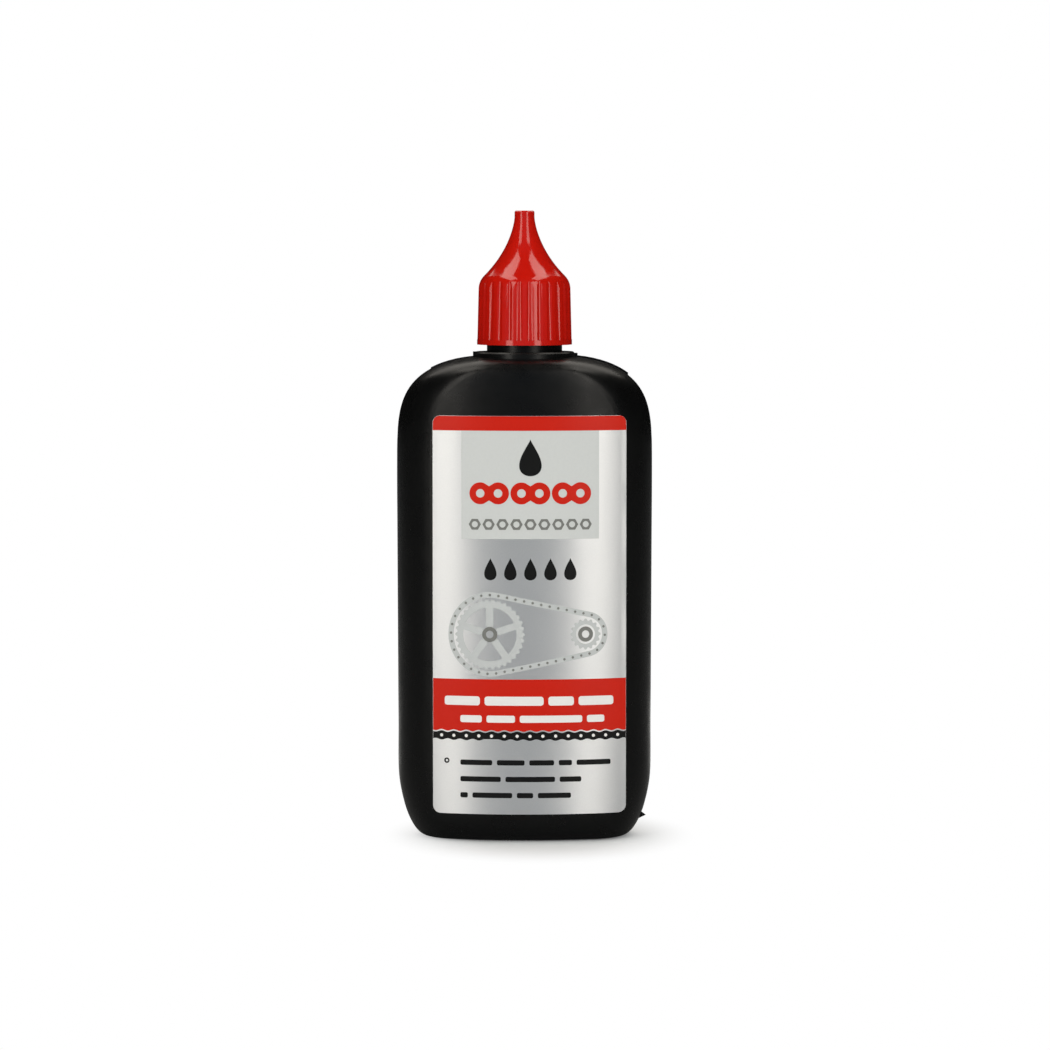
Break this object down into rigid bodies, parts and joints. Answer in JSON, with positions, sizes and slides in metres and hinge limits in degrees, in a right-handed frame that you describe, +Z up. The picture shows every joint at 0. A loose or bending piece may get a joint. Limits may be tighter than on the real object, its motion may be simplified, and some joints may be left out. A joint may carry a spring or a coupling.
{
  "type": "chain lube bottle",
  "caption": "Flat oval squeeze bottle for bicycle chain oil, with a pointed fluted screw cap, a dropper spout under it and a film label on the front.",
  "frame": {"origin": "centre of the base, on the plane it stands on", "axes": "+Z up along the neck, the label faces -Y, +X is to the right of someone who reads the label"},
  "size_m": [0.054, 0.0282, 0.1324],
  "materials": {
    "black_hdpe": "satin blow-moulded",
    "natural_ldpe": "milky translucent",
    "red_pp": "gloss injection-moulded",
    "silver_film": "printed silver film"
  },
  "bodies": {
    "bottle_body": {"bottle": "black_hdpe", "dropper_insert": "natural_ldpe", "front_label": "silver_film"},
    "cap_body": {"cap": "red_pp"}
  },
  "joints": [
    {"name": "cap_lift", "type": "slide", "parent": "bottle_body", "child": "cap_body", "axis": [0, 0, 1], "range_m": [0, 0.032]}
  ]
}
